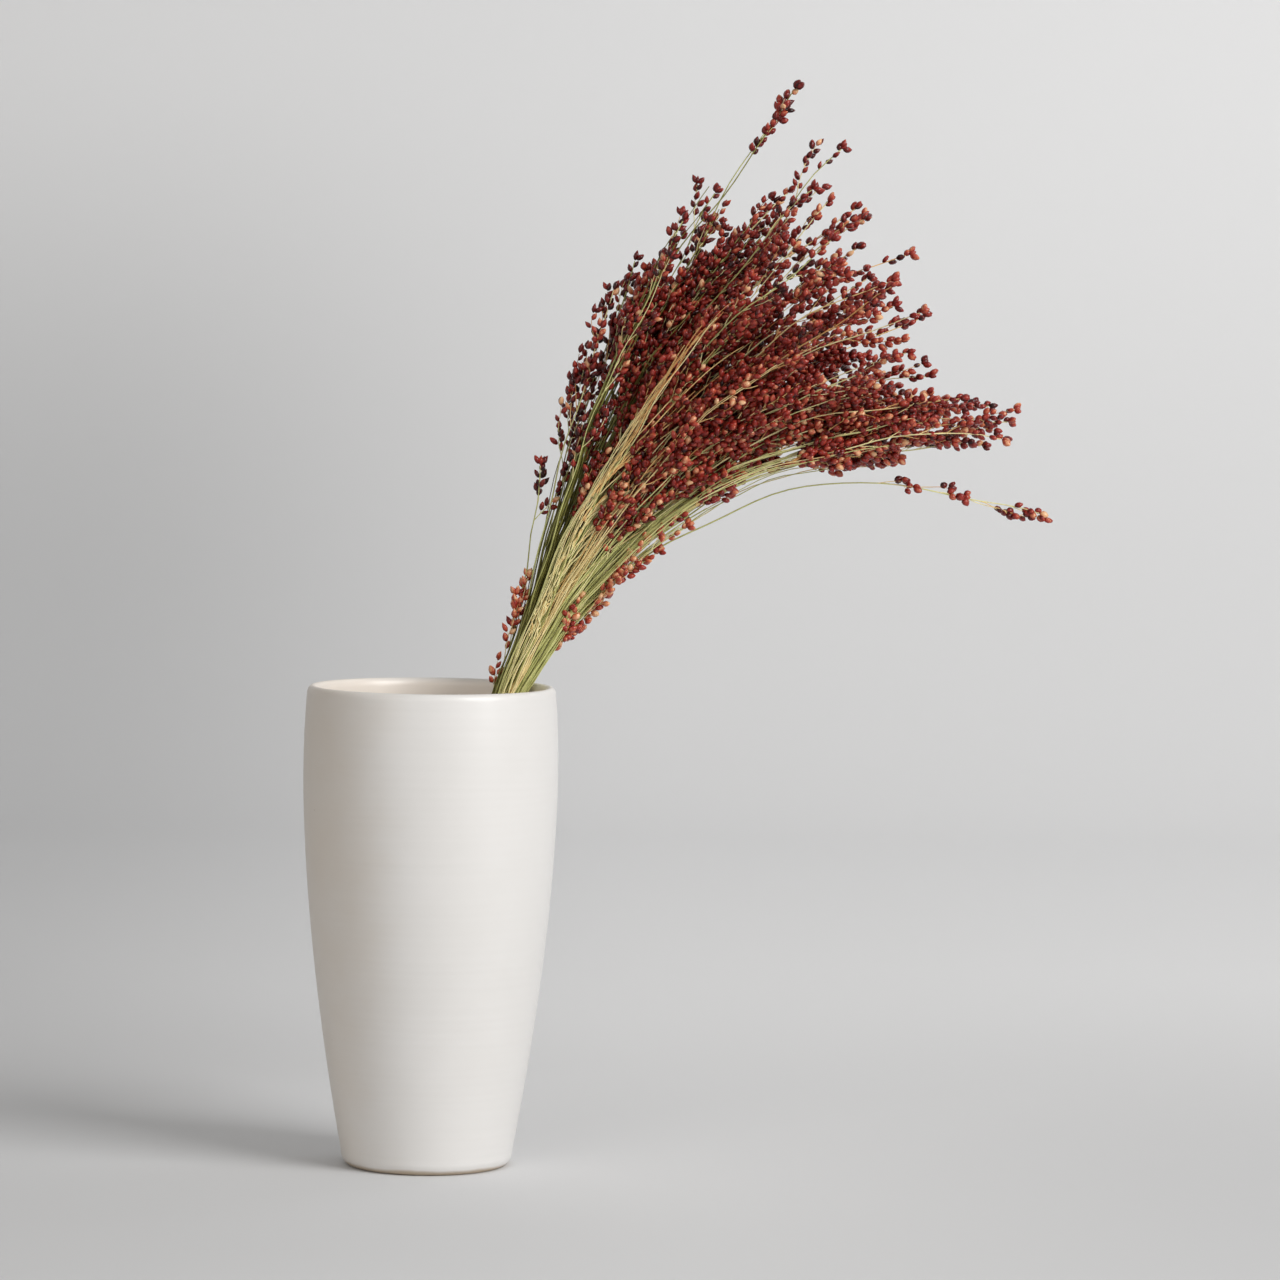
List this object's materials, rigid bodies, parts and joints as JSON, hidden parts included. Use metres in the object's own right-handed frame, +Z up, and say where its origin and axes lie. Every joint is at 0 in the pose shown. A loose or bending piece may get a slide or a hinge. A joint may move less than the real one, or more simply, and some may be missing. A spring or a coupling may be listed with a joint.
{
  "type": "sorghum seed head in a vase",
  "caption": "One cut sorghum seed head that stands in a tall thrown vase, leans on its rim and droops to one side in a fan of grain-bearing branches.",
  "frame": {"origin": "middle of the vase's foot, on the surface it stands on", "axes": "+Z up along the vase's axis, +X the way the head leans and droops"},
  "size_m": [0.385, 0.1482, 0.5662],
  "materials": {
    "glaze": "satin white glaze with throwing rings",
    "straw": "dry, smooth, faintly ribbed stem",
    "grain": "dry dark red glossy grains on straw branches"
  },
  "bodies": {
    "root": {"vase": "glaze", "stalk": "straw", "spray_1_1": "grain", "spray_1_2": "grain", "spray_1_3": "grain", "spray_1_4": "grain", "spray_1_5": "grain", "spray_1_6": "grain", "spray_1_7": "grain", "spray_2_1": "grain", "spray_2_2": "grain", "spray_2_3": "grain", "spray_2_4": "grain", "spray_2_5": "grain", "spray_2_6": "grain", "spray_2_7": "grain", "spray_3_1": "grain", "spray_3_2": "grain", "spray_3_3": "grain", "spray_3_4": "grain", "spray_3_5": "grain", "spray_3_6": "grain", "spray_4_1": "grain", "spray_4_2": "grain", "spray_4_3": "grain", "spray_4_4": "grain", "spray_4_5": "grain", "spray_5_1": "grain", "spray_5_2": "grain", "spray_5_3": "grain", "spray_6_1": "grain", "spray_6_2": "grain", "low_spray_2": "grain", "lone_spray": "grain", "low_spray_1": "grain", "left_spray_5": "grain", "left_spray_3": "grain", "low_spray_3": "grain", "left_spray_1": "grain", "low_spray_4": "grain", "left_spray_2": "grain", "top_spray": "grain", "left_spray_4": "grain"}
  },
  "joints": []
}
